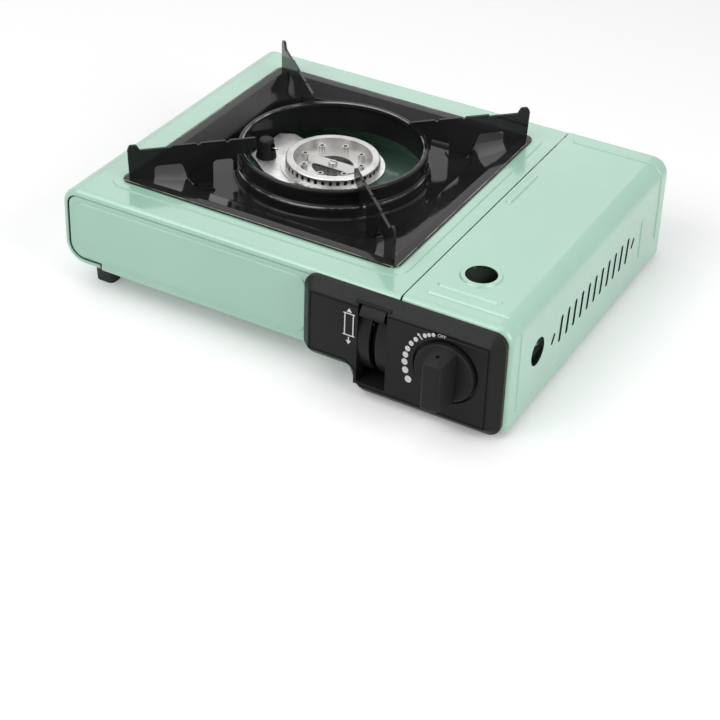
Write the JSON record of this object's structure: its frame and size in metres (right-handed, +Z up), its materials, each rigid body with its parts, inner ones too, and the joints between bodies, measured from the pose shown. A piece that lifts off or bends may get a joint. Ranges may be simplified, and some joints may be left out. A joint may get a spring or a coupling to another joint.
{
  "type": "portable butane cassette stove",
  "caption": "Portable gas stove: flat enamelled body with a drip tray, ring collar, burner and pan supports, a lidded cartridge bay, knob and lock lever.",
  "frame": {"origin": "centre of the whole stove's footprint box, at the height of the table under its feet", "axes": "+X towards the cartridge bay at the stove's right, +Y from the control panel to the back, +Z up"},
  "size_m": [0.3468, 0.299, 0.1076],
  "materials": {
    "mint_enamel": "smooth gloss paint",
    "dark_plastic": "fine satin moulding",
    "black_enamel": "glossy baked enamel",
    "cast_aluminium": "fine cast, machined top",
    "bright_steel": "plain plated steel",
    "brass": "turned",
    "black_rubber": "matt moulded",
    "white_plastic": "plain moulded",
    "white_ceramic": "unglazed"
  },
  "bodies": {
    "housing": {"back_panel": "mint_enamel", "base_plate": "mint_enamel", "bay_guide": "bright_steel", "bay_pan": "mint_enamel", "burner_bar": "bright_steel", "burner_body": "cast_aluminium", "burner_head": "cast_aluminium", "burner_ports": "cast_aluminium", "burner_screw": "bright_steel", "burner_stand": "bright_steel", "cartridge_cradle": "bright_steel", "control_panel": "dark_plastic", "foot_screws": "bright_steel", "front_bulkhead": "mint_enamel", "front_panel": "mint_enamel", "gas_nozzle": "brass", "gas_pipe": "bright_steel", "heat_shield": "bright_steel", "hinge_pins": "bright_steel", "igniter_cover": "dark_plastic", "igniter_electrode": "bright_steel", "igniter_insulator": "white_ceramic", "lever_bracket": "bright_steel", "lever_pin": "bright_steel", "mixer_bracket": "bright_steel", "panel_screws": "bright_steel", "piezo_igniter": "white_plastic", "rear_bulkhead": "mint_enamel", "regulator_body": "cast_aluminium", "regulator_screws": "bright_steel", "rod_guides": "bright_steel", "seat_seal": "black_rubber", "short_feet": "black_rubber", "tall_feet": "black_rubber", "top_cover": "mint_enamel"},
    "lid": {"lid": "mint_enamel", "lid_hinge_ears": "bright_steel"},
    "knob": {"knob": "dark_plastic", "valve_spindle": "bright_steel", "ignition_cam": "white_plastic"},
    "lever": {"lock_lever": "dark_plastic"},
    "carriage": {"pusher_rod": "bright_steel", "pusher_plate": "bright_steel"},
    "plunger": {"piezo_plunger": "white_plastic"},
    "tray": {"drip_tray": "black_enamel", "flame_collar": "black_enamel", "pan_support_front_left": "black_enamel", "pan_support_front_right": "black_enamel", "pan_support_back_left": "black_enamel", "pan_support_back_right": "black_enamel", "support_rivets": "bright_steel"}
  },
  "joints": [
    {"name": "lid_hinge", "type": "hinge", "parent": "housing", "child": "lid", "pos_m": [0.10075, 0, 0.077], "axis": [0, -1, 0], "range_deg": [0, 95]},
    {"name": "knob_turn", "type": "hinge", "parent": "housing", "child": "knob", "pos_m": [0.13345, -0.1165, 0.0448], "axis": [0, -1, 0], "range_deg": [0, 150]},
    {"name": "plunger_slide", "type": "slide", "parent": "housing", "child": "plunger", "axis": [-1, 0, 0], "range_m": [0, 0.005]},
    {"name": "lever_swing", "type": "hinge", "parent": "housing", "child": "lever", "pos_m": [0.07965, -0.0925, 0.043], "axis": [1, 0, 0], "range_deg": [0, 76]},
    {"name": "carriage_slide", "type": "slide", "parent": "housing", "child": "carriage", "axis": [0, -1, 0], "range_m": [0, 0.01109]},
    {"name": "tray_lift", "type": "slide", "parent": "housing", "child": "tray", "axis": [0, 0, 1], "range_m": [0, 0.06]}
  ],
  "couplings": [
    {"joint": "lever_swing", "follows": "carriage_slide", "rad_per_m": 119.61},
    {"joint": "plunger_slide", "follows": "knob_turn", "m_per_rad": 0.0019098}
  ]
}
